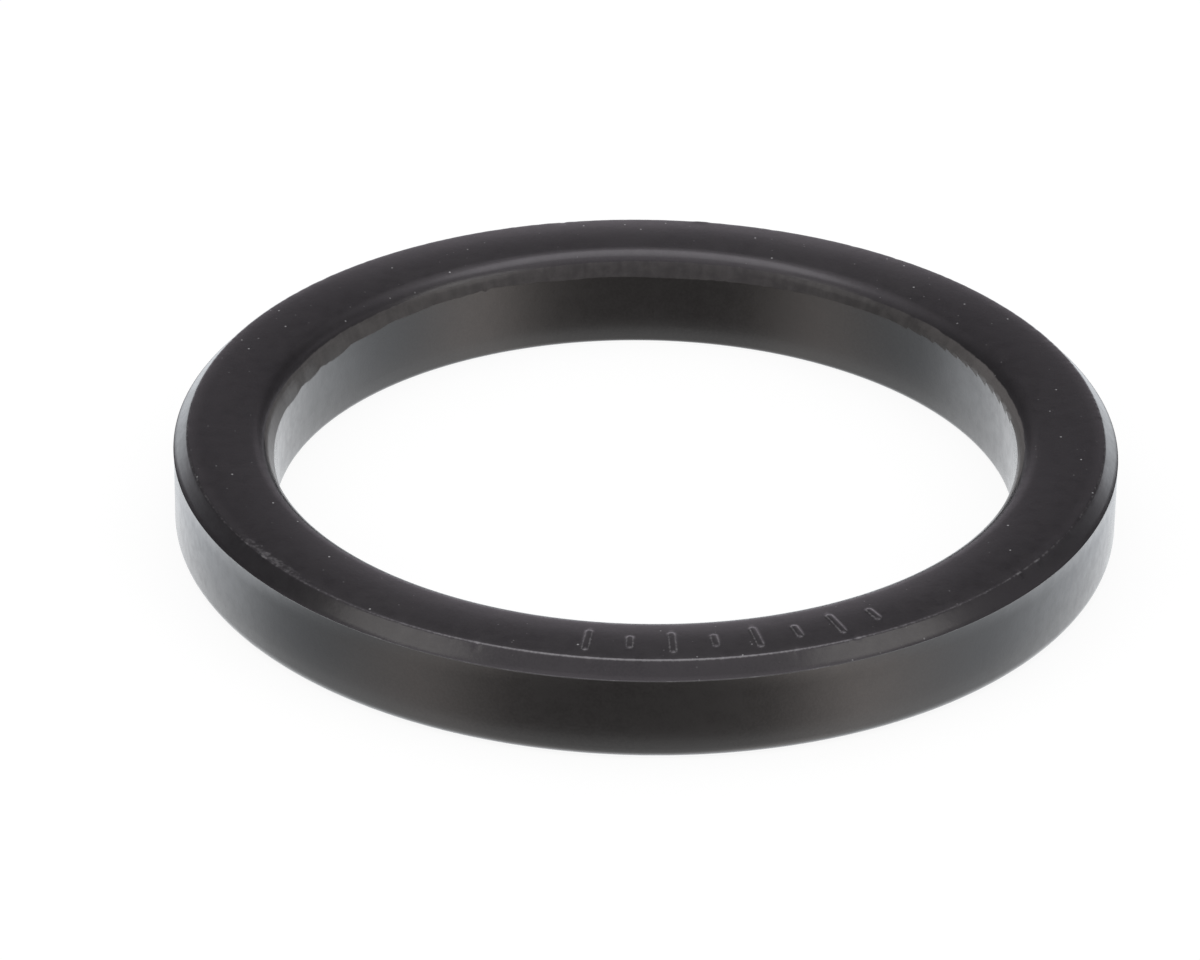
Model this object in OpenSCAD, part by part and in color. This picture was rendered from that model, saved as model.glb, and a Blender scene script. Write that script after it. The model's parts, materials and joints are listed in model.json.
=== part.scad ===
// Group head gasket: one moulded rubber ring that seals a filter holder against a coffee machine's group.
// The ring lies on its plain face. The chamfered face, which goes up into the group's groove, is on top.
// Origin: centre of the ring on the plain bottom face. +Z runs up along the ring's axis.

/* [Ring] */
// Diameter of the plain outside wall
wall_d = 72.8; // [50:0.1:100]
// Width of the ring, from the bore to the outside wall
ring_w = 7.7; // [6.5:0.1:12]
// Height from the plain face to the chamfered face
height = 8; // [6:0.1:14]

/* [Seat chamfer] */
// Width of the chamfer, measured inwards from the outside wall
chamfer_w = 1.05; // [0.5:0.05:2]
// Height of the chamfer, measured down from the top face
chamfer_h = 1.3; // [0.6:0.05:2.5]
// Radius of the edge between the top face and the chamfer
seat_round = 0.4; // [0.1:0.05:0.8]
// Radius of the bead that the mould's parting line leaves at the foot of the chamfer
bead_r = 0.08; // [0.05:0.01:0.3]

/* [Moulded edges] */
// Radius of the outside bottom edge
foot_round = 1; // [0.2:0.1:2]
// Radius of the bore's bottom edge
mouth_round = 0.5; // [0.1:0.1:1.5]
// Radius that turns the top face down into the bore
lip_round = 1.85; // [0.5:0.05:2]

/* [Trimmed bore edge] */
// Width that the trimmed bevel would have at the top face, measured outwards from the bore
trim_w = 0.65; // [0.4:0.05:1]
// Depth below the top face of the bevel's edge in the bore, where the knife cut least
trim_h = 1.9; // [1.8:0.1:3]
// Radius of the knife's long strokes
stroke_r = 6; // [4:0.5:10]
// How much further the long strokes run down the bore
stroke_drop = 0.25; // [0.1:0.05:0.8]
// Number of long strokes
stroke_count = 9; // [1:1:12]
// Angle of the first long stroke round the ring
stroke_start = 103; // [90:1:110]
// Angle from one long stroke to the next
stroke_step = 7.2; // [5:0.1:8]
// Radius of the short marks that the chattering knife left
chatter_r = 2; // [1:0.1:4]
// How much further the chatter marks run down the bore
chatter_drop = 0.2; // [0.1:0.05:0.6]
// Number of chatter marks
chatter_count = 12; // [1:1:20]
// Angle of the first chatter mark round the ring
chatter_start = 8; // [0:1:20]
// Angle from one chatter mark to the next
chatter_step = 3.2; // [2:0.1:4]

/* [Index marks] */
// Number of raised marks on the top face
mark_count = 8; // [1:1:12]
// Angle of the first mark round the ring
mark_start = -97; // [-120:1:-60]
// Angle from one mark to the next
mark_step = 5.4; // [3:0.1:8]
// Length of a long mark, across the top face
mark_l = 2.8; // [1:0.1:3.5]
// Length of a short mark as a share of a long one
mark_short = 0.6; // [0.3:0.05:1]
// Width of a mark
mark_w = 0.5; // [0.2:0.05:1]
// How far the marks stand up from the top face
mark_rise = 0.08; // [0.03:0.01:0.2]

/* [Hidden] */
$fn = 96;
wall_r = wall_d / 2;
bore_r = wall_r - ring_w;
seat_r = wall_r - chamfer_w;
lip_r = bore_r + trim_w;
shoulder_z = height - chamfer_h;
// Depth to which the marks are rooted in the ring
mark_root = 0.2;
// How far each cutter runs past the surface that it cuts
overrun = 1;
// Lean of the trimmed bevel from upright
bevel_lean = atan(trim_w / trim_h);
// How far the lip's round reaches from its corner, along the top face and along the bevel
lip_reach = lip_round * tan((90 - bevel_lean) / 2);
// Each knife mark begins on the bevel, this far below the lip's round
knife_gap = 0.1;
knife_in = lip_reach * cos(bevel_lean) + knife_gap;
// The marks lie midway across the flat that the lip's round leaves
marks_r = (lip_r + lip_reach + seat_r) / 2;

// The ring's section before its edges are rounded: radius and height of each corner
BORE_FOOT = [bore_r, 0];
WALL_FOOT = [wall_r, 0];
SHOULDER = [wall_r, shoulder_z];
SEAT_EDGE = [seat_r, height];
LIP = [lip_r, height];
TRIM_EDGE = [bore_r, height - trim_h];

function unit(v) = v / norm(v);

// What rounding takes off a corner: the part of the corner that lies outside a circle touching both its sides
module corner_waste(before, corner, after, radius) {
    side_a = unit(before - corner);
    side_b = unit(after - corner);
    half_angle = acos(side_a * side_b) / 2;
    difference() {
        polygon([corner, corner + side_a * radius / tan(half_angle), corner + side_b * radius / tan(half_angle)]);
        translate(corner + unit(side_a + side_b) * radius / sin(half_angle)) circle(r = radius);
    }
}

// Section of the ring, in radius and height
module ring_section() {
    difference() {
        polygon([BORE_FOOT, WALL_FOOT, SHOULDER, SEAT_EDGE, LIP, TRIM_EDGE]);
        corner_waste(TRIM_EDGE, BORE_FOOT, WALL_FOOT, mouth_round);
        corner_waste(BORE_FOOT, WALL_FOOT, SHOULDER, foot_round);
        corner_waste(SHOULDER, SEAT_EDGE, LIP, seat_round);
        corner_waste(SEAT_EDGE, LIP, TRIM_EDGE, lip_round);
    }
    translate(SHOULDER) circle(r = bead_r);
}

// One pass of the knife: a round-bottomed cut that starts below the lip and runs out in the bore, drop below the bevel
module knife_pass(angle, radius, drop) {
    run = trim_h + drop - knife_in;
    entry_r = bore_r + trim_w * (1 - knife_in / trim_h);
    rotate([0, 0, angle])
        translate([entry_r, 0, height - knife_in])
            rotate([0, atan((entry_r - bore_r) / run), 0])
                translate([-radius, 0, -run - overrun])
                    cylinder(r = radius, h = run + overrun + knife_in + overrun);
}

// Swings between 0.6 and 1.4 from one cut to the next, as a hand does
function uneven(i) = 1 + 0.4 * sin(i * 137);

module trimmed_edge() {
    for (i = [0 : stroke_count - 1])
        knife_pass(stroke_start + i * stroke_step, stroke_r, stroke_drop * uneven(i));
    for (i = [0 : chatter_count - 1])
        knife_pass(chatter_start + i * chatter_step, chatter_r, chatter_drop * uneven(i));
}

// One raised mark with round ends, lying across the top face
module index_mark(length) {
    half_run = (length - mark_w) / 2;
    translate([-half_run, -mark_w / 2, 0]) cube([2 * half_run, mark_w, mark_root + mark_rise]);
    for (end = [-half_run, half_run])
        translate([end, 0, 0]) cylinder(d = mark_w, h = mark_root + mark_rise);
}

module index_marks() {
    for (i = [0 : mark_count - 1])
        rotate([0, 0, mark_start + i * mark_step])
            translate([marks_r, 0, height - mark_root])
                index_mark(i % 2 == 0 ? mark_l : mark_l * mark_short);
}

module gasket_ring() {
    color("#1d1b1c") {
        difference() {
            rotate_extrude() ring_section();
            trimmed_edge();
        }
        index_marks();
    }
}

gasket_ring();
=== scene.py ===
"""Group head gasket: one moulded black rubber ring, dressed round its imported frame.

Lengths are millimetres until the mesh is made. The scene itself is in metres.
Angles round the ring are degrees from +X towards +Y, so the camera looks from -90.
"""

import json
import math

import bpy
import numpy as np
from mathutils import Matrix, Vector


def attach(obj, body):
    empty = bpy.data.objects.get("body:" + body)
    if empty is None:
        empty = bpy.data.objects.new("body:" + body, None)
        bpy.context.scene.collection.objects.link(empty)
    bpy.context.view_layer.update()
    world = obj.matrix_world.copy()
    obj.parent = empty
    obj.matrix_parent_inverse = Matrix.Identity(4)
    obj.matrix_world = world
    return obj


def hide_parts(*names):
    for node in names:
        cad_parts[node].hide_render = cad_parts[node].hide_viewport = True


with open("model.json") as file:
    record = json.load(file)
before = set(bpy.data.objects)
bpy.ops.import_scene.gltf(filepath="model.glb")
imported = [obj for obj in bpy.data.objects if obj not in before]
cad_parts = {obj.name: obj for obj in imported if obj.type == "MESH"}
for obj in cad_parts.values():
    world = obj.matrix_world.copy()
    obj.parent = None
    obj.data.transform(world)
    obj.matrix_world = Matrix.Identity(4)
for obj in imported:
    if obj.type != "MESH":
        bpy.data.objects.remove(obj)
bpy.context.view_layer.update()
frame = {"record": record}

MM = 0.001

# Sizes of the ring, from the frame
mounts = {m["name"]: m for m in frame["record"]["mounts"]}
BORE_R = mounts["bore"]["dims"]["r_mm"]
WALL_R = mounts["outside_wall"]["dims"]["r_mm"]
HEIGHT = mounts["chamfered_face"]["pos_m"][2] / MM

# Sizes of the section's corners and edges, as in the CAD part
CHAMFER_W, CHAMFER_H = 1.05, 1.3
SEAT_ROUND = 0.4
BEAD_R = 0.08
FOOT_ROUND = 1.0
MOUTH_ROUND = 0.5
LIP_ROUND = 1.85
TRIM_W, TRIM_H = 0.65, 1.9
# The top face is a little domed: it leans this much at either edge
CROWN = math.radians(4.5)
# The bead is so slight that the wall and the chamfer stay plain to within this much of the shoulder
BEAD_GUARD = 0.06
# The trimmed edge is sharp: the bore is plain from this far below it
EDGE_SHARP = 0.04
# The bevel above the trimmed edge is at least this high
BEVEL_LEAST = 0.12

# Knife marks on the bore's upper edge: long strokes, by the angle where each begins and its depth
STROKES = ((99.0, 0.03), (108.5, 0.05), (117.5, 0.06), (127.0, 0.1), (136.0, 0.17), (145.1, 0.27),
           (154.0, 0.25), (160.7, 0.25), (169.0, 0.0))
# Power that moves the deepest place of each stroke away from its middle
STROKE_LEAN = 1.35
# Teeth that the chattering knife left. After the first few, which have the full depth, they get shallower
TEETH = dict(first=9.1, step=3.15, count=12, depth=0.43, full=4, fade=0.1, shallowest=0.18)
# Where the knife slipped: angle, half width and extra depth
SLIPS = ((152.2, 0.8, 0.05), (117.3, 0.45, 0.25))
# How high the trimmed edge runs, by angle: the knife was held a little askew
TRIM_LINE = ((-180, 5.75), (-90, 6.0), (0, 6.55), (25, 6.6), (45, 6.45), (65, 6.2), (90, 5.97),
             (105, 6.02), (116, 6.3), (127, 6.12), (138, 5.97), (150, 5.82), (165, 5.75), (180, 5.75))
# Painted sheen: how much paler the trimmed skin is drawn at each angle, most near the ring's ends
PAINTED_SHEEN = ((-180, 0.5), (-90, 0.4), (0, 1.0), (15, 1.0), (25, 0.72), (35, 0.36), (45, 0.06), (60, 0.0),
           (100, 0.0), (115, 0.16), (125, 0.25), (145, 0.42), (155, 0.34), (165, 0.3), (180, 0.5))
# How many degrees round the lip's turn the trimmed skin starts, by angle
CUT_LINE = ((-180, 47.0), (-90, 53.0), (0, 47.0), (15, 47.7), (45, 49.3), (90, 53.5), (135, 57.7),
            (165, 58.5), (172, 54.0), (180, 47.0))
# Turn given to the skin that the knife never reached, and to all that it cut below the lip
UNCUT, ALL_CUT = -90.0, 90.0

# Raised index marks on the top face
MARK_COUNT, MARK_FIRST, MARK_STEP = 8, -97.0, 5.4
MARK_L, MARK_SHORT, MARK_W, MARK_RISE = 2.8, 0.6, 0.5, 0.08
# Half the width over which their outlines rise, and how worn those outlines are
MARK_SOFT, MARK_WORN = 0.08, 0.6
# The face is finely divided to this far beyond the marks' ends
MARK_MARGIN = 0.15

# Nicks and lumps along the seat edge: angle, half width in degrees, and how far the edge sinks (or stands up)
NICKS = ((-109.8, 0.5, 0.05), (-104.0, 0.35, 0.03), (-90.2, 0.4, -0.07), (-80.5, 0.3, 0.03),
         (-71.5, 0.5, 0.035), (-62.5, 0.35, -0.03), (-38.0, 0.6, -0.08), (-34.0, 0.5, -0.06),
         (-143.0, 0.8, -0.05), (-147.0, 0.5, -0.05))
# Smaller ones all round: their number and depth, and the ranges of half width and of the share of that depth
NICK_COUNT, NICK_DEPTH = 90, 0.022
NICK_HALF, NICK_SHARE = (0.25, 0.9), (-0.3, 1)
# A nick sinks the edge this much inwards, and as much downwards
NICK_SLANT = 0.7
# A stub of mould flash left on the far side, and how steep its ends are
FLASH_AT, FLASH_HALF, FLASH_RISE = 83.0, 1.2, 0.04
FLASH_STEEP = 3

# How the seat edge is drawn paler: wear all round, a painted highlight towards the camera,
# and wear for each millimetre of sinking
WEAR_PLAIN, PAINTED_HIGHLIGHT_FRONT, WEAR_NICKED = 0.3, 0.5, 8
FRONT_AT, FRONT_HALF = -90, 35
# Across the seat edge's round, nicks, wear and the painted highlight follow half a sine wave that starts
# at this angle, in radians. The power keeps the wear and the highlight narrow
SEAT_TAPER, WEAR_NARROW = 0.2, 4
# Scuffed stretch of the flat beside the seat edge: angle, half width in degrees, and how heavy
SCUFF_AT, SCUFF_HALF, SCUFF = -142.0, 13.0, 0.4

# How much of the bead shows, and how worn it is: on average, and from the least to the most
BEAD_SHARE, BEAD_RANGE = 0.12, (0.02, 0.5)
BEAD_WORN, BEAD_WORN_RANGE = 0.05, (0, 0.5)
# It fades out to the left and right: how steeply, and how much of its rise stays hidden
BEAD_STEEP, BEAD_HIDDEN = 3, 1.6

# Random swings round the ring: seed, waves in a turn, and size
SEED = 7
FINE_RAGGED = (SEED, range(60, 200, 9), 0.014)
BROAD_RAGGED = (SEED + 1, range(8, 24), 0.02)
NICK_SEED = SEED + 2
SEAT_RAGGED = (SEED + 3, range(90, 300, 13), 0.006)
CUT_RAGGED = (SEED + 4, range(5, 60, 3), 0.8)
BEAD_SWING = (SEED + 5, range(30, 130, 7), 0.16)
BEAD_WORN_SWING = (SEED + 6, range(40, 120, 7), 0.3)
# Slow waves that the mould and the rubber's set leave in the walls
SLOW_WAVES = {"wall": (SEED + 8, range(2, 14), 0.02), "chamfer": (SEED + 9, range(2, 14), 0.012),
              "bore": (SEED + 10, range(2, 14), 0.02)}

# How finely the ring is divided round its axis: from, to and step in degrees
SECTORS = ((-150, -100, 0.35), (-100, -57, 0.2), (-57, -30, 0.4), (-30, 4, 1.0), (4, 50, 0.165),
           (50, 100, 0.6), (100, 168, 0.35), (168, 210, 1.0))
# How many points the parts of its section have
POINTS = dict(base=2, foot=8, wall=4, bead=5, chamfer=3, seat=7, lip=13, bevel=4, bore=6, mouth=6)
# And across the top face: outside the marks, over their outer ends, between, over their inner ends, inside
FLAT_POINTS = (3, 8, 4, 8, 3)
# Powers that crowd the points of the bevel and of the bore towards the trimmed edge
BEVEL_CROWD, BORE_CROWD = 0.4, 1.5


def smooth(x):
    """Rises from 0 to 1 as x does, with no corner at either end."""
    x = np.clip(x, 0, 1)
    return x * x * (3 - 2 * x)


def angle_gap(a, b):
    """Smallest turn from b to a, in degrees."""
    return (a - b + 180) % 360 - 180


def hump(az, centre, half_width):
    """1 at the angle centre, falling smoothly to 0 at half_width to either side."""
    return smooth(1 - np.abs(angle_gap(az, centre)) / half_width)


def by_angle(az, table):
    """Values at each angle, between those of a table of angles and values."""
    return np.interp(angle_gap(az, 0), *zip(*table))


def azimuths():
    """Angle of each section round the ring, closer together where there is more to show."""
    return np.concatenate([np.arange(a, b - step / 2, step) for a, b, step in SECTORS])


def wobble(az, seed, waves, size):
    """A random swing round the ring that joins up with itself."""
    rng = np.random.default_rng(seed)
    total = np.zeros_like(az)
    for wave in waves:
        total += rng.normal() * np.sin(np.radians(az) * wave + rng.uniform(0, 2 * math.pi))
    return size * total / math.sqrt(len(waves))


def knife_drop(az):
    """How far below the plain bevel the knife ran down the bore, at each angle."""
    drop = np.zeros_like(az)
    for (start, depth), (stop, _) in zip(STROKES, STROKES[1:]):
        share = np.clip((stop - az) / (stop - start), 0, 1)
        drop += depth * np.sin(math.pi * share ** STROKE_LEAN)
    for i in range(TEETH["count"]):
        share = angle_gap(az, TEETH["first"] + i * TEETH["step"]) / TEETH["step"]
        depth = TEETH["depth"] * (1 - TEETH["fade"] * max(i - TEETH["full"], 0))
        depth = max(depth, TEETH["shallowest"])
        drop += np.where((share >= 0) & (share < 1), depth * (1 - share), 0)
    for centre, half_width, depth in SLIPS:
        drop += depth * hump(az, centre, half_width)
    return drop + (wobble(az, *FINE_RAGGED) + wobble(az, *BROAD_RAGGED))


def seat_sink(az):
    """How far the seat edge is nicked away, or stands up, at each angle."""
    rng = np.random.default_rng(NICK_SEED)
    sink = wobble(az, *SEAT_RAGGED)
    small_nicks = [(rng.uniform(-180, 180), rng.uniform(*NICK_HALF), NICK_DEPTH * rng.uniform(*NICK_SHARE))
                   for _ in range(NICK_COUNT)]
    for centre, half_width, depth in (*small_nicks, *NICKS):
        sink += depth * hump(az, centre, half_width)
    from_flash = np.abs(angle_gap(az, FLASH_AT)) / FLASH_HALF
    return sink - FLASH_RISE * smooth(FLASH_STEEP - FLASH_STEEP * from_flash)


def cut_start(az):
    """How many degrees round the lip's turn the trimmed skin begins."""
    return by_angle(az, CUT_LINE) + wobble(az, *CUT_RAGGED)


def unit(vector):
    """The vector at length 1."""
    return vector / np.linalg.norm(vector)


def corner_arc(before, corner, after, radius, steps):
    """Points of the arc that rounds a corner of the section."""
    before, corner, after = (np.array(p, float) for p in (before, corner, after))
    side_a, side_b = unit(before - corner), unit(after - corner)
    half = math.acos(float(side_a @ side_b)) / 2
    centre = corner + unit(side_a + side_b) * radius / math.sin(half)
    start = corner + side_a * radius / math.tan(half) - centre
    end = corner + side_b * radius / math.tan(half) - centre
    start_angle, end_angle = math.atan2(start[1], start[0]), math.atan2(end[1], end[0])
    turn = (end_angle - start_angle + math.pi) % (2 * math.pi) - math.pi
    angles = start_angle + turn * np.linspace(0, 1, steps)
    return centre + radius * np.stack([np.cos(angles), np.sin(angles)], 1)


def line(a, b, steps):
    """Points between a and b, without either."""
    t = np.linspace(0, 1, steps + 2)[1:-1, None]
    return np.array(a, float) * (1 - t) + np.array(b, float) * t


def flat_points(outer, apex, inner):
    """Points across the domed top face, closer together where the index marks end."""
    middle, half, short = apex[0], MARK_L / 2, MARK_L * MARK_SHORT / 2
    stops = (outer[0], middle + half + MARK_MARGIN, middle + short - MARK_W / 2,
             middle - short + MARK_W / 2, middle - half - MARK_MARGIN, inner[0])
    pieces = []
    for i, count in enumerate(FLAT_POINTS):
        piece = np.linspace(stops[i], stops[i + 1], count)
        # Each stretch over the marks' ends keeps its own two ends, and the stretches beside it leave them out
        pieces.append(piece if i % 2 else piece[1:-1])
    radii = np.concatenate(pieces)
    t = (radii - outer[0]) / (inner[0] - outer[0])
    return np.stack([radii, (1 - t) ** 2 * outer[1] + 2 * t * (1 - t) * apex[1] + t ** 2 * inner[1]], 1)


def marks_middle():
    """Radius of the circle on which the index marks are centred, midway across the flat."""
    lean = math.atan2(TRIM_W, TRIM_H)
    reach = LIP_ROUND * math.tan((math.pi / 2 - lean) / 2)
    return (BORE_R + TRIM_W + reach + WALL_R - CHAMFER_W) / 2


def section():
    """The ring's plain section as points in radius and height, and the slice of them that each part takes."""
    middle, seat_r, lip_r = marks_middle(), WALL_R - CHAMFER_W, BORE_R + TRIM_W
    slope = math.tan(CROWN)
    apex = np.array([middle, HEIGHT + slope * (seat_r - middle) / 2])
    bore_foot, wall_foot = (BORE_R, 0), (WALL_R, 0)
    shoulder = np.array([WALL_R, HEIGHT - CHAMFER_H])
    seat_edge = (seat_r, apex[1] - slope * (seat_r - middle))
    lip_corner, trim_edge = (lip_r, apex[1] - slope * (middle - lip_r)), (BORE_R, HEIGHT - TRIM_H)
    foot = corner_arc(bore_foot, wall_foot, shoulder, FOOT_ROUND, POINTS["foot"])
    seat = corner_arc(shoulder, seat_edge, apex, SEAT_ROUND, POINTS["seat"])
    lip = corner_arc(apex, lip_corner, trim_edge, LIP_ROUND, POINTS["lip"])
    mouth = corner_arc(trim_edge, bore_foot, wall_foot, MOUTH_ROUND, POINTS["mouth"])
    up_chamfer = unit(seat_edge - shoulder)
    bead_angles = np.linspace(-math.pi / 2, math.atan2(up_chamfer[1], up_chamfer[0]), POINTS["bead"])
    bead = shoulder + BEAD_R * np.stack([np.cos(bead_angles), np.sin(bead_angles)], 1)
    # The surfaces beside the bead stay flat right up to it
    below_bead, above_bead = shoulder - (0, BEAD_GUARD), shoulder + BEAD_GUARD * up_chamfer
    parts = (
        ("base", line(mouth[-1], foot[0], POINTS["base"])),
        ("foot", foot),
        ("wall", line(foot[-1], below_bead, POINTS["wall"])),
        ("below_bead", below_bead[None]),
        ("bead", bead),
        ("above_bead", above_bead[None]),
        ("chamfer", line(above_bead, seat[0], POINTS["chamfer"])),
        ("seat", seat),
        ("flat", flat_points(seat[-1], apex, lip[0])),
        ("lip", lip),
        ("bevel", line(lip[-1], trim_edge, POINTS["bevel"])),
        ("edge", np.array([trim_edge])),
        ("under_edge", np.array([trim_edge]) - (0, EDGE_SHARP)),
        ("bore", line(trim_edge, mouth[0], POINTS["bore"])),
        ("mouth", mouth),
    )
    spans, count = {}, 0
    for name, points in parts:
        spans[name] = slice(count, count + len(points))
        count += len(points)
    return np.concatenate([points for _, points in parts]), spans


def along(span, power=1.0):
    """How far along its part of the section each point lies, between 0 and 1 and without either."""
    return np.linspace(0, 1, span.stop - span.start + 2)[None, 1:-1] ** power


def shape_trimmed_edge(az, plain, spans, r, z):
    """Brings the lip, the bevel and the bore to the edge that the knife left, and returns its height."""
    lip, bevel, bore = spans["lip"], spans["bevel"], spans["bore"]
    trim_line = by_angle(az, TRIM_LINE)
    edge_z = trim_line - knife_drop(az)
    # Where the edge is high the bevel lies further in, and brings the lip with it
    around = np.linspace(0, 1, lip.stop - lip.start)[None]
    inwards = (trim_line - (HEIGHT - TRIM_H)) * TRIM_W / TRIM_H
    r[:, lip] -= inwards * around
    z[:, lip] += np.maximum(trim_line + BEVEL_LEAST - plain[lip][-1, 1], 0) * around ** 2
    lip_r, lip_z = r[:, lip][:, -1:], z[:, lip][:, -1:]
    down = along(bevel, BEVEL_CROWD)
    r[:, bevel] = lip_r * (1 - down) + BORE_R * down
    z[:, bevel] = lip_z * (1 - down) + edge_z * down
    z[:, spans["edge"]] = edge_z
    z[:, spans["under_edge"]] = edge_z - EDGE_SHARP
    down = along(bore, BORE_CROWD)
    z[:, bore] = (edge_z - EDGE_SHARP) * (1 - down) + plain[spans["mouth"]][0, 1] * down
    return edge_z


def past_cut_start(az, spans, shape):
    """How far past the start of the trimmed skin each point lies, along the lip's round."""
    lip = spans["lip"]
    turn = np.full(shape, UNCUT)
    lip_ends = math.degrees(CROWN), 90 - math.degrees(math.atan2(TRIM_W, TRIM_H))
    turn[:, lip] = np.linspace(*lip_ends, lip.stop - lip.start)
    turn[:, spans["bevel"].start:spans["bore"].stop] = ALL_CUT
    return np.radians(turn - cut_start(az)) * LIP_ROUND


def shape_seat_edge(az, spans, r, z, worn):
    """Nicks the seat edge, wears it where it is nicked, and paints a highlight on it where it faces the
    camera.
    """
    seat = slice(spans["chamfer"].stop - 1, spans["flat"].start + 1)
    share = np.sin(np.linspace(SEAT_TAPER, math.pi - SEAT_TAPER, seat.stop - seat.start))[None]
    sink = seat_sink(az)
    r[:, seat] -= sink * share * NICK_SLANT
    z[:, seat] -= sink * share * NICK_SLANT
    # Painted highlight: the seat edge is drawn paler towards the camera, where the top light glints on its
    # round
    seat_wear_and_highlight = WEAR_PLAIN + PAINTED_HIGHLIGHT_FRONT * hump(az, FRONT_AT, FRONT_HALF) + WEAR_NICKED * np.abs(sink)
    worn[:, seat] = share ** WEAR_NARROW * np.clip(seat_wear_and_highlight, 0, 1)


def shape_bead(az, plain, spans, r, z, worn):
    """Makes the bead come and go round the ring."""
    bead = spans["bead"]
    middle = plain[bead].mean(0)
    shown = smooth(BEAD_STEEP * np.abs(np.sin(np.radians(az))) - BEAD_HIDDEN)
    swell = np.clip(BEAD_SHARE + wobble(az, *BEAD_SWING), *BEAD_RANGE) * shown
    r[:, bead] = middle[0] + (plain[bead, 0] - middle[0]) * swell
    z[:, bead] = middle[1] + (plain[bead, 1] - middle[1]) * swell
    worn[:, bead] = shown * np.clip(BEAD_WORN + wobble(az, *BEAD_WORN_SWING), *BEAD_WORN_RANGE)


def mark_shape(r, az):
    """How far the index marks stand up from the top face, and how near each point is to a mark's outline."""
    middle = marks_middle()
    rise = np.zeros(np.broadcast(r, az).shape)
    outline = np.zeros_like(rise)
    for i in range(MARK_COUNT):
        length = MARK_L if i % 2 == 0 else MARK_L * MARK_SHORT
        lengthways = np.maximum(np.abs(r - middle) - (length - MARK_W) / 2, 0)
        across = r * np.radians(angle_gap(az, MARK_FIRST + i * MARK_STEP))
        inside = MARK_W / 2 - np.hypot(lengthways, across)
        rise = np.maximum(rise, MARK_RISE * smooth(0.5 + inside / (2 * MARK_SOFT)))
        outline = np.maximum(outline, np.exp(-(inside / MARK_SOFT) ** 2))
    return rise, outline


def ring_points():
    """Every point of the ring over angle and section, and what its material needs to know there."""
    az = azimuths()[:, None]
    plain, spans = section()
    r = np.repeat(plain[None, :, 0], len(az), 0)
    z = np.repeat(plain[None, :, 1], len(az), 0)
    worn = np.zeros_like(r)
    edge_z = shape_trimmed_edge(az, plain, spans, r, z)
    above_edge = z - edge_z
    shape_seat_edge(az, spans, r, z, worn)
    shape_bead(az, plain, spans, r, z, worn)
    for name, swing in SLOW_WAVES.items():
        r[:, spans[name]] += wobble(az, *swing) * np.sin(along(spans[name]) * math.pi)
    rise, outline = mark_shape(r[:, spans["flat"]], az)
    z[:, spans["flat"]] += rise
    worn[:, spans["flat"]] = MARK_WORN * outline
    beside_seat = slice(spans["seat"].stop - 2, spans["flat"].start + 1)
    worn[:, beside_seat] = np.maximum(worn[:, beside_seat], SCUFF * hump(az, SCUFF_AT, SCUFF_HALF))
    marks = {
        "past_cut": past_cut_start(az, spans, r.shape),
        "above_edge": above_edge,
        "worn": worn,
        # How much painted sheen the trimmed skin gets at each angle
        "scraped": np.repeat(by_angle(az, PAINTED_SHEEN), r.shape[1], 1),
    }
    return az, r, z, marks


def ring_mesh():
    """The ring as one closed mesh of quads. What the material needs to know is stored at its points."""
    az, r, z, marks = ring_points()
    turn = np.radians(az)
    points = np.stack([r * np.cos(turn), r * np.sin(turn), z], -1) * MM
    rows, columns = r.shape
    index = np.arange(rows * columns).reshape(rows, columns)
    ahead = np.roll(index, -1, 0)
    faces = np.stack([index, ahead, np.roll(ahead, -1, 1), np.roll(index, -1, 1)], -1).reshape(-1, 4)
    mesh = bpy.data.meshes.new("moulded_ring")
    mesh.from_pydata(points.reshape(-1, 3), [], faces.tolist())
    for name, values in marks.items():
        mesh.attributes.new(name, "FLOAT", "POINT").data.foreach_set("value", values.ravel())
    mesh.shade_smooth()
    mesh.update()
    return mesh


# Places of a Mix node's sockets, several of which share a name: those for numbers, and those for colours
NUMBER_A, NUMBER_B, NUMBER_RESULT = 2, 3, 0
COLOUR_A, COLOUR_B, COLOUR_RESULT = 6, 7, 2


def add_node(tree, kind, inputs=None, **settings):
    """A shader node with its settings made and its inputs set or linked."""
    node = tree.nodes.new(kind)
    for name, value in settings.items():
        setattr(node, name, value)
    for name, value in (inputs or {}).items():
        if isinstance(value, bpy.types.NodeSocket):
            tree.links.new(value, node.inputs[name])
        else:
            node.inputs[name].default_value = value
    return node


def maths(tree, operation, *values):
    """The result of a Math node."""
    return add_node(tree, "ShaderNodeMath", dict(enumerate(values)), operation=operation).outputs[0]


def product(tree, first, *others):
    """All the values multiplied together."""
    for value in others:
        first = maths(tree, "MULTIPLY", first, value)
    return first


def ramp(tree, value, low, high, start=0.0, end=1.0):
    """value, remapped smoothly from low..high to start..end."""
    inputs = {"Value": value, "From Min": low, "From Max": high, "To Min": start, "To Max": end}
    return add_node(tree, "ShaderNodeMapRange", inputs, interpolation_type="SMOOTHSTEP").outputs[0]


def blend(tree, share, first, second):
    """One number turning into another as share goes from 0 to 1. They may be sockets."""
    inputs = {0: share, NUMBER_A: first, NUMBER_B: second}
    return add_node(tree, "ShaderNodeMix", inputs).outputs[NUMBER_RESULT]


def tint(tree, share, first, second):
    """The same for colours."""
    first, second = ((*c, 1) if isinstance(c, tuple) else c for c in (first, second))
    inputs = {0: share, COLOUR_A: first, COLOUR_B: second}
    return add_node(tree, "ShaderNodeMix", inputs, data_type="RGBA").outputs[COLOUR_RESULT]


def noise(tree, place, size, detail=2.0, roughness=0.5):
    """Noise whose lumps are about size millimetres across."""
    inputs = {"Vector": place, "Scale": 1 / (size * MM), "Detail": detail, "Roughness": roughness}
    return add_node(tree, "ShaderNodeTexNoise", inputs).outputs[0]


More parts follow.
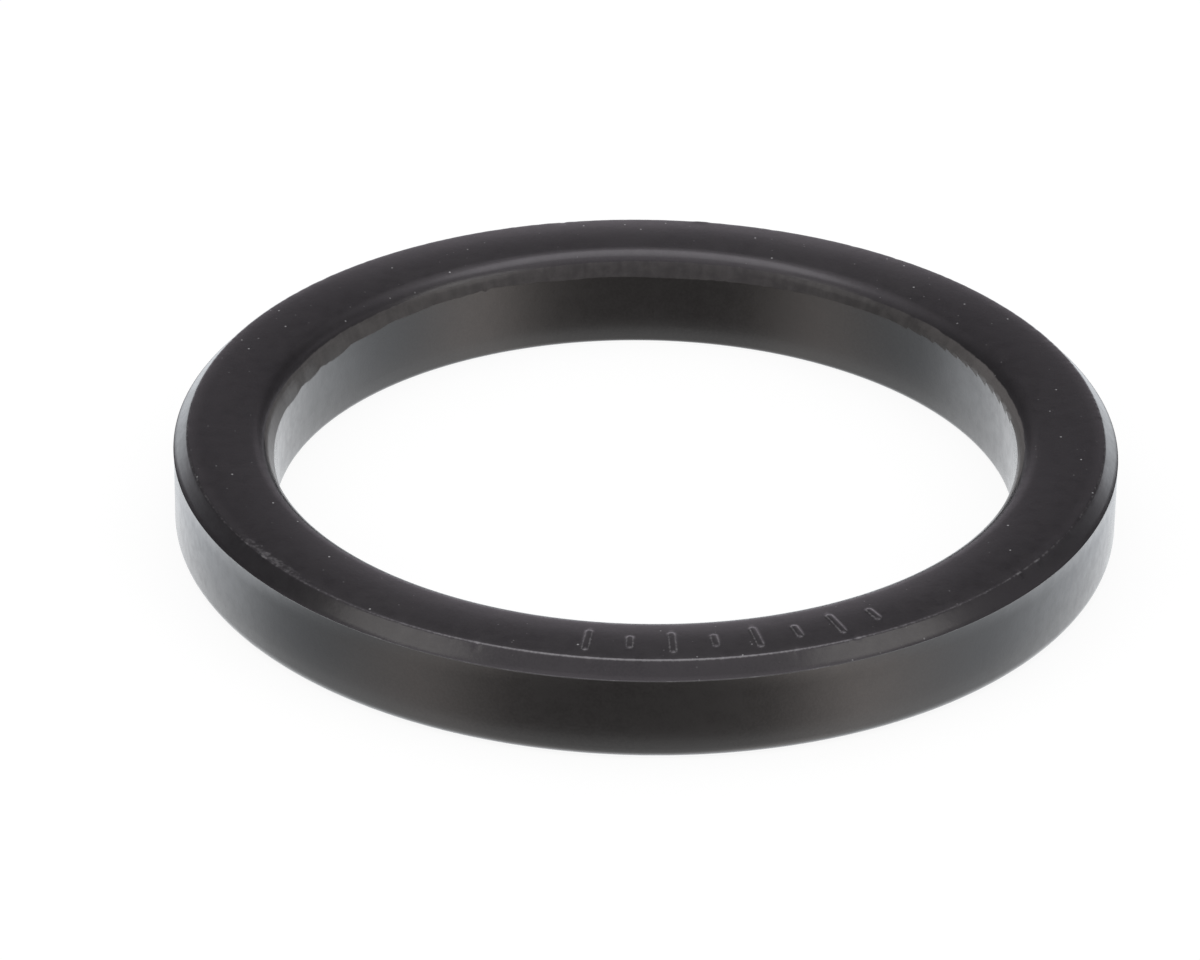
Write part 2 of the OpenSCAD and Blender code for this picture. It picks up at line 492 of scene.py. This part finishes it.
def drawn_noise(tree, angle, height, per_radian, per_metre, detail):
    """Noise that is drawn out along the walls or round them, by how many lumps there are each way."""
    x, y = product(tree, angle, per_radian), product(tree, height, per_metre)
    place = add_node(tree, "ShaderNodeCombineXYZ", {"X": x, "Y": y}).outputs[0]
    return add_node(tree, "ShaderNodeTexNoise", {"Vector": place, "Scale": 1.0, "Detail": detail}).outputs[0]


# Colours of the rubber: its moulded skin, the skin that the knife left and its painted sheen,
# worn edges with a painted highlight, and dust
MOULDED, FILMED = (0.0085, 0.0080, 0.0088), (0.0175, 0.0168, 0.0172)
TRIMMED, TRIMMED_PALE_AND_SHEEN = (0.0305, 0.028, 0.0275), (0.119, 0.111, 0.107)
PALE_WEAR_AND_HIGHLIGHT = (0.16, 0.158, 0.162)
DUST = (0.42, 0.42, 0.43)

# Patterns in the rubber: size in millimetres, detail and roughness
PATCHES, MOTTLE, GRAIN, WEAR_SPOTS = (9.0,), (1.1, 4.0, 0.6), (0.22,), (0.28,)
# Streaks up the walls, and fine lines round them: lumps to a radian and to a metre, and detail
STREAKS, FINE_LINES = (45.0, 160.0, 1.5), (5.0, 4500.0, 2.0)
# Dust in large and in small specks: cells to a metre, the share of them without a speck, and strength
LARGE_SPECKS, SMALL_SPECKS = (1500.0, 0.93, 1.0), (1900.0, 0.9, 0.3)
# How sharply a speck's cell is chosen, and the distances from its middle between which it fades in
SPECK_STEP, SPECK_EDGE = 0.01, (0.16, 0.06)

# From here on, a range is the low and the high of a value, then what they turn into if that isn't 0 and 1
PATCH_RANGE = (0.42, 0.68)
# How ragged the start of the trimmed skin is, and the distances over which that skin begins and ends
CUT_UNEVEN, CUT_BEGINS, CUT_ENDS = 0.24, (-0.05, 0.08), (-0.02, 0.01)
# How spotty the wear and the painted highlight are, and what of them shows
WEAR_SPOTTY, WEAR_RANGE = 0.9, (0.62, 1.25)
# How far up a surface faces, how far it is to the left or right, and how far from the axis
UP_RANGE = (0.6, 0.9)
SIDE_RANGE = (12 * MM, 31 * MM)
INNER_RANGE = (34.2 * MM, 35.3 * MM, 1.0, 0.0)
# The film on the moulded skin: what mottle and grain make of it, and the share of the grain
FILM_MOTTLE, FILM_GRAIN, GRAIN_SHARE = (0.3, 0.7, 0.4, 1.0), (0.35, 0.65, -0.3, 0.7), 0.6
# How much film is added in the middle, and the share of it that is left at the sides
FILM_MIDDLE, FILM_SIDES = 0.4, 0.2
# The trimmed skin: what streaks and mottle make of it, the share of the mottle, and the strength of both
TRIM_STREAKS, TRIM_MOTTLE = (0.3, 0.7), (0.35, 0.65)
TRIM_MOTTLED, TRIM_UNEVEN = 0.7, 0.3
# Roughness of the moulded skin by mottle, of the trimmed skin and of dust
MOULDED_ROUGH, TRIMMED_ROUGH, DUST_ROUGH = (0.3, 0.7, 0.28, 0.40), 0.55, 0.8
# Weight of the coat where the skin is glossy, where it is dull, and where the knife or dust broke it
GLOSSY_COAT, DULL_COAT, BROKEN_COAT = 1.0, 0.35, 0.38
# What is the same all over
UNIFORM = {"IOR": 1.55, "Coat IOR": 1.6, "Coat Roughness": 0.2}
# Relief: each pattern's share of it, and its height
MOTTLE_RELIEF, GRAIN_RELIEF, LINE_RELIEF, STREAK_RELIEF = 0.5, 0.25, 0.2, 0.4
RELIEF_HEIGHT = 0.015 * MM


def dust(tree, place, cells_per_metre, share, strength):
    """Specks, one in each cell whose random value is above share."""
    cells = add_node(tree, "ShaderNodeTexVoronoi", {"Vector": place, "Scale": cells_per_metre})
    value = add_node(tree, "ShaderNodeSeparateColor", {0: cells.outputs["Color"]}).outputs[0]
    chosen = ramp(tree, value, share, share + SPECK_STEP, 0.0, strength)
    return product(tree, chosen, ramp(tree, cells.outputs["Distance"], *SPECK_EDGE))


def rubber_patterns(tree):
    """The patterns and places that the rubber's colour, gloss and relief are made from."""
    place = add_node(tree, "ShaderNodeTexCoord").outputs["Object"]
    known = {name: add_node(tree, "ShaderNodeAttribute", attribute_name=name).outputs["Fac"]
             for name in ("past_cut", "above_edge", "worn", "scraped")}
    x, y, z = add_node(tree, "ShaderNodeSeparateXYZ", {0: place}).outputs
    angle = maths(tree, "ARCTAN2", y, x)
    mottle = noise(tree, place, *MOTTLE)
    # The skin that the knife left, with a ragged start
    ragged = maths(tree, "MULTIPLY_ADD", mottle, CUT_UNEVEN, -CUT_UNEVEN / 2)
    started = ramp(tree, maths(tree, "ADD", known["past_cut"], ragged), *CUT_BEGINS)
    cut = product(tree, started, ramp(tree, known["above_edge"], *CUT_ENDS))
    worn = maths(tree, "MULTIPLY_ADD", noise(tree, place, *WEAR_SPOTS), WEAR_SPOTTY, known["worn"])
    # Dust lies only on what faces up
    facing = add_node(tree, "ShaderNodeNewGeometry").outputs["Normal"]
    facing_up = ramp(tree, add_node(tree, "ShaderNodeSeparateXYZ", {0: facing}).outputs["Z"], *UP_RANGE)
    specks = maths(tree, "MAXIMUM", dust(tree, place, *LARGE_SPECKS), dust(tree, place, *SMALL_SPECKS))
    # The top face is duller and blacker to the left and right than at the front and back
    to_side = ramp(tree, maths(tree, "ABSOLUTE", x), *SIDE_RANGE)
    radius = maths(tree, "SQRT", maths(tree, "MULTIPLY_ADD", x, x, product(tree, y, y)))
    return {
        "patches": ramp(tree, noise(tree, place, *PATCHES), *PATCH_RANGE),
        "mottle": mottle,
        "grain": noise(tree, place, *GRAIN),
        "streaks": drawn_noise(tree, angle, z, *STREAKS),
        "lines": drawn_noise(tree, angle, z, *FINE_LINES),
        "cut": cut,
        "scraped": known["scraped"],
        "worn": ramp(tree, worn, *WEAR_RANGE),
        "specks": product(tree, specks, facing_up),
        "to_side": to_side,
        "dull": product(tree, to_side, ramp(tree, radius, *INNER_RANGE), facing_up),
    }


def rubber_colour(tree, look):
    """Black with a greyish film, paler where the knife cut and more so with painted sheen towards the ring's
    ends, and paler still where the edges are worn or carry the seat edge's painted highlight.
    """
    film = product(tree, look["patches"], ramp(tree, look["mottle"], *FILM_MOTTLE))
    film = maths(tree, "MULTIPLY_ADD", ramp(tree, look["grain"], *FILM_GRAIN), GRAIN_SHARE, film)
    in_middle, at_sides = maths(tree, "ADD", film, FILM_MIDDLE), product(tree, film, FILM_SIDES)
    skin = tint(tree, blend(tree, look["to_side"], in_middle, at_sides), MOULDED, FILMED)
    streaks, mottle = ramp(tree, look["streaks"], *TRIM_STREAKS), ramp(tree, look["mottle"], *TRIM_MOTTLE)
    uneven = blend(tree, TRIM_MOTTLED, streaks, mottle)
    # Painted sheen: the trimmed skin is drawn paler by angle, on top of its uneven tone from streaks and
    # mottle
    pale_and_sheen = maths(tree, "MULTIPLY_ADD", uneven, TRIM_UNEVEN, look["scraped"])
    colour = tint(tree, look["cut"], skin, tint(tree, pale_and_sheen, TRIMMED, TRIMMED_PALE_AND_SHEEN))
    # Wear and the seat edge's painted highlight are drawn in the same light grey
    colour = tint(tree, look["worn"], colour, PALE_WEAR_AND_HIGHLIGHT)
    return tint(tree, look["specks"], colour, DUST)


def rubber_roughness(tree, look):
    """The knife's skin and the dust are rougher than the moulded skin."""
    rough = blend(tree, look["cut"], ramp(tree, look["mottle"], *MOULDED_ROUGH), TRIMMED_ROUGH)
    return blend(tree, look["specks"], rough, DUST_ROUGH)


def rubber_coat(tree, look):
    """The moulded skin's gloss, which is thin at the sides and broken by the knife and by dust."""
    coat = blend(tree, look["dull"], GLOSSY_COAT, DULL_COAT)
    return blend(tree, maths(tree, "MAXIMUM", look["cut"], look["specks"]), coat, BROKEN_COAT)


def rubber_relief(tree, look):
    """Fine unevenness of the skin, with the knife's streaks in what it cut."""
    relief = product(tree, look["grain"], GRAIN_RELIEF)
    relief = maths(tree, "MULTIPLY_ADD", look["mottle"], MOTTLE_RELIEF, relief)
    relief = maths(tree, "MULTIPLY_ADD", look["lines"], LINE_RELIEF, relief)
    relief = maths(tree, "MULTIPLY_ADD", product(tree, look["streaks"], look["cut"]), STREAK_RELIEF, relief)
    inputs = {"Height": relief, "Strength": 1.0, "Distance": RELIEF_HEIGHT}
    return add_node(tree, "ShaderNodeBump", inputs).outputs[0]


def black_rubber():
    """Moulded black rubber, with a knife's skin where it was trimmed and painted sheen on it, worn edges with
    a painted highlight on the seat edge, and specks of dust.
    """
    material = bpy.data.materials.new("black_rubber")
    material.use_nodes = True
    tree = material.node_tree
    shader = tree.nodes["Principled BSDF"]
    look = rubber_patterns(tree)
    relief = rubber_relief(tree, look)
    linked = {
        "Base Color": rubber_colour(tree, look),
        "Roughness": rubber_roughness(tree, look),
        "Coat Weight": rubber_coat(tree, look),
        "Normal": relief,
        "Coat Normal": relief,
    }
    for name, socket in linked.items():
        tree.links.new(socket, shader.inputs[name])
    for name, value in UNIFORM.items():
        shader.inputs[name].default_value = value
    return material


# The camera, fitted to the photograph's edges: picture width and focal length in pixels, distance, and angles
IMAGE_W = 1200
FOCAL = 6500.0
DISTANCE = 505.36
ELEVATION, ROLL = math.radians(29.404), math.radians(0.965)
# How far left of the origin and above it the camera aims, in pixels
PAN, TILT = 44.483, 35.283
SENSOR = 36.0
# Nearest and furthest that it sees, in metres
CLIP_START, CLIP_END = 0.01, 10


def add_object(name, data):
    """A new object in the scene."""
    thing = bpy.data.objects.new(name, data)
    bpy.context.scene.collection.objects.link(thing)
    return thing


def make_camera():
    """The camera at the photograph's place."""
    data = bpy.data.cameras.new("camera")
    data.sensor_width = SENSOR
    data.lens = FOCAL / IMAGE_W * SENSOR
    data.clip_start, data.clip_end = CLIP_START, CLIP_END
    camera = add_object("camera", data)
    place = Vector((0, -math.cos(ELEVATION), math.sin(ELEVATION))) * DISTANCE * MM
    forward = -place.normalized()
    right = Vector((1, 0, 0))
    up = right.cross(forward)
    right, up = (right * math.cos(ROLL) + up * math.sin(ROLL), up * math.cos(ROLL) - right * math.sin(ROLL))
    aim = (up * TILT - right * PAN) * DISTANCE * MM / FOCAL
    forward = (aim - place).normalized()
    right = (right - forward * right.dot(forward)).normalized()
    up = right.cross(forward)
    camera.matrix_world = Matrix.Translation(place) @ Matrix((right, up, -forward)).transposed().to_4x4()
    bpy.context.scene.camera = camera


# The floor: half its side in metres, its colour to light, its colour to the camera and the glow added to that
FLOOR_HALF = 3.0
FLOOR_COLOUR, FLOOR_FAINT = (0.8, 0.8, 0.8, 1), (0.15, 0.15, 0.15, 1)
FLOOR_GLOW = 0.9
# How clearly the ring mirrors the floor, by the distance from the ring
FLOOR_NEAR = (0.5 * MM, 4.5 * MM, 0.5, 0.0)


def pale_floor():
    """A floor that the camera sees nearly white, with the ring's shadow on it."""
    material = bpy.data.materials.new("pale_floor")
    material.use_nodes = True
    tree = material.node_tree
    tree.nodes.clear()
    path = add_node(tree, "ShaderNodeLightPath").outputs
    seen = maths(tree, "MAXIMUM", path["Is Camera Ray"], path["Is Transmission Ray"])
    matt = add_node(tree, "ShaderNodeBsdfDiffuse", {"Color": FLOOR_COLOUR}).outputs[0]
    faint = add_node(tree, "ShaderNodeBsdfDiffuse", {"Color": FLOOR_FAINT}).outputs[0]
    glow = add_node(tree, "ShaderNodeEmission", {"Strength": FLOOR_GLOW}).outputs[0]
    lit = add_node(tree, "ShaderNodeAddShader", {0: faint, 1: glow}).outputs[0]
    # Reflections look through the floor to the studio's own white, but close to the ring they see the floor
    place = add_node(tree, "ShaderNodeTexCoord").outputs["Object"]
    from_axis = add_node(tree, "ShaderNodeVectorMath", {0: place}, operation="LENGTH").outputs["Value"]
    inside = maths(tree, "SUBTRACT", BORE_R * MM, from_axis)
    outside = maths(tree, "SUBTRACT", from_axis, WALL_R * MM)
    near = ramp(tree, maths(tree, "MAXIMUM", inside, outside), *FLOOR_NEAR)
    through = add_node(tree, "ShaderNodeBsdfTransparent").outputs[0]
    white = add_node(tree, "ShaderNodeEmission", {"Strength": 1.0}).outputs[0]
    mirrored = add_node(tree, "ShaderNodeMixShader", {0: near, 1: through, 2: white}).outputs[0]
    for_camera = add_node(tree, "ShaderNodeMixShader", {0: seen, 1: matt, 2: lit}).outputs[0]
    for_all = add_node(tree, "ShaderNodeMixShader", {0: path["Is Glossy Ray"], 1: for_camera, 2: mirrored})
    add_node(tree, "ShaderNodeOutputMaterial", {"Surface": for_all.outputs[0]})
    return material


def make_floor():
    """A flat square under the ring."""
    mesh = bpy.data.meshes.new("floor")
    corners = [(x * FLOOR_HALF, y * FLOOR_HALF, 0) for x, y in ((-1, -1), (1, -1), (1, 1), (-1, 1))]
    mesh.from_pydata(corners, [], [(0, 1, 2, 3)])
    floor = add_object("floor", mesh)
    floor.data.materials.append(pale_floor())


# The studio as the ring mirrors it, by where its parts lie. "front" is 1 towards the camera and -1 behind the
# ring, "side" is 1 to the right and -1 to the left, and "height" is 1 straight up
HORIZON = (-0.02, 0.12)
# Below the horizon: white behind the ring, greyer to its sides, with the dark that the camera stands in
BELOW_BEHIND = (-0.5, -0.1, 1.0, 0.58)
BELOW_FRONT = (0.15, 0.6, 0.0, 0.24)
BELOW_CAMERA = (0.55, 0.93, 1.0, 0.19)
# It is brighter on the right than on the left, apart from behind the ring
UNEVEN_FRONT, UNEVEN_SIDE = (-0.45, -0.15), (-0.8, 0.8, 0.8, 1.18)
# Above the horizon: a glow low down behind the ring, by height and by front
LOW_GLOW, LOW_GLOW_FRONT = (0.33, 0.5, 0.42, 0.0), (-0.9, -0.99)
# Glows to the sides, by front from either end, by side, and by height from below and from above
SIDE_GLOW_BACK, SIDE_GLOW_FRONT = (-0.85, -0.4), (0.7, 0.3)
SIDE_GLOW_SIDE = (-0.5, 0.5, 0.3, 1.0)
SIDE_GLOW_LOW, SIDE_GLOW_HIGH = (0.25, 0.4), (0.52, 0.7, 0.22, 0.0)
# The overhead light, which reaches further out and is dimmer towards the camera, and the glow round it
OVERHEAD_REACH, OVERHEAD_EDGE = (-0.35, 0.0, 0.08, 0.0), (0.875, 0.905)
OVERHEAD_STRENGTH = (-0.2, 0.15, 0.52, 0.76)
HIGH_GLOW = (0.5, 0.93, 0.0, 0.45)
# What shines in the dark between, and on the camera's side
DARK, FRONT_GLOW = 0.04, (0.3, 0.9, 0.1, 0.4)
# Colours of what is mirrored: below and behind, below and in front, and above
COOL, WARM, ABOVE = (0.92, 0.955, 1.0), (1.0, 0.915, 0.875), (0.99, 0.9, 1.0)
WARM_FRONT = (0.0, 0.6)
# What lights the ring without being mirrored, and what the camera sees
PLAIN_LIGHT, WHITE = 0.65, 1.0
UNTINTED = (1.0, 1.0, 1.0)
TO_CAMERA = (0, -1, 0)


def mirrored_below(tree, front, side):
    """How bright the ring mirrors the studio below the horizon."""
    uneven = blend(tree, ramp(tree, front, *UNEVEN_FRONT), 1.0, ramp(tree, side, *UNEVEN_SIDE))
    below = maths(tree, "ADD", ramp(tree, front, *BELOW_BEHIND), ramp(tree, front, *BELOW_FRONT))
    return maths(tree, "MINIMUM", product(tree, below, uneven, ramp(tree, front, *BELOW_CAMERA)), WHITE)


def mirrored_above(tree, front, side, y, height):
    """The same above the horizon."""
    low_glow = product(tree, ramp(tree, height, *LOW_GLOW), ramp(tree, front, *LOW_GLOW_FRONT))
    side_glow = product(tree, ramp(tree, front, *SIDE_GLOW_BACK), ramp(tree, front, *SIDE_GLOW_FRONT),
                        ramp(tree, side, *SIDE_GLOW_SIDE), ramp(tree, height, *SIDE_GLOW_LOW),
                        ramp(tree, height, *SIDE_GLOW_HIGH))
    reach = maths(tree, "ADD", height, ramp(tree, y, *OVERHEAD_REACH))
    overhead = product(tree, ramp(tree, reach, *OVERHEAD_EDGE), ramp(tree, y, *OVERHEAD_STRENGTH))
    high_glow = maths(tree, "MAXIMUM", ramp(tree, height, *HIGH_GLOW), overhead)
    glows = maths(tree, "ADD", maths(tree, "ADD", low_glow, high_glow), maths(tree, "ADD", side_glow, DARK))
    return maths(tree, "MAXIMUM", glows, ramp(tree, front, *FRONT_GLOW))


def make_world():
    """The studio: white to the camera, plain light for the scene, and a pattern for the ring to mirror."""
    world = bpy.data.worlds.new("studio")
    bpy.context.scene.world = world
    world.use_nodes = True
    tree = world.node_tree
    tree.nodes.clear()
    path = add_node(tree, "ShaderNodeLightPath").outputs
    way = add_node(tree, "ShaderNodeTexCoord").outputs["Generated"]
    x, y, height = add_node(tree, "ShaderNodeSeparateXYZ", {0: way}).outputs
    level = add_node(tree, "ShaderNodeCombineXYZ", {"X": x, "Y": y}).outputs[0]
    level = add_node(tree, "ShaderNodeVectorMath", {0: level}, operation="NORMALIZE").outputs[0]
    side = add_node(tree, "ShaderNodeSeparateXYZ", {0: level}).outputs["X"]
    front = add_node(tree, "ShaderNodeVectorMath", {0: level, 1: TO_CAMERA}, operation="DOT_PRODUCT")
    front = front.outputs["Value"]
    rise = ramp(tree, height, *HORIZON)
    below, above = mirrored_below(tree, front, side), mirrored_above(tree, front, side, y, height)
    mirrored = blend(tree, rise, below, above)
    shade = tint(tree, rise, tint(tree, ramp(tree, front, *WARM_FRONT), COOL, WARM), ABOVE)
    shade = tint(tree, path["Is Glossy Ray"], UNTINTED, shade)
    seen = maths(tree, "MAXIMUM", path["Is Camera Ray"], path["Is Transmission Ray"])
    strength = blend(tree, seen, blend(tree, path["Is Glossy Ray"], PLAIN_LIGHT, mirrored), WHITE)
    back = add_node(tree, "ShaderNodeBackground", {"Color": shade, "Strength": strength})
    add_node(tree, "ShaderNodeOutputWorld", {"Surface": back.outputs[0]})


# Lamps: name, place, what they shine at, their two widths, radiance and colour
LAMPS = (
    ("top_light", (0, 0.09, 0.6), (0, 0.09, 0), (0.6, 0.42), 0.5, (0.97, 0.97, 1.0)),
    ("left_light", (-0.57, -0.29, 0.48), (0, 0, 0), (0.42, 0.42), 0.9, (1.0, 0.97, 0.94)),
    ("right_light", (0.57, -0.29, 0.48), (0, 0, 0), (0.42, 0.42), 0.95, (1.0, 0.97, 0.94)),
)


def make_lamp(name, place, target, size, radiance, colour):
    """A soft elliptical lamp. Its power is pi times its radiance times its area."""
    data = bpy.data.lights.new(name, "AREA")
    data.shape = "ELLIPSE"
    data.size, data.size_y = size
    data.energy = radiance * math.pi * size[0] * size[1] * math.pi / 4
    data.color = colour
    lamp = add_object(name, data)
    lamp.location = place
    lamp.rotation_euler = (Vector(target) - Vector(place)).to_track_quat("-Z", "Y").to_euler()


make_camera()
make_floor()
make_world()
for lamp in LAMPS:
    make_lamp(*lamp)

ring = add_object("moulded_ring", ring_mesh())
ring.data.materials.append(black_rubber())
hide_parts("gasket_ring")
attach(ring, "root")

bpy.context.scene.view_settings.view_transform = "Standard"
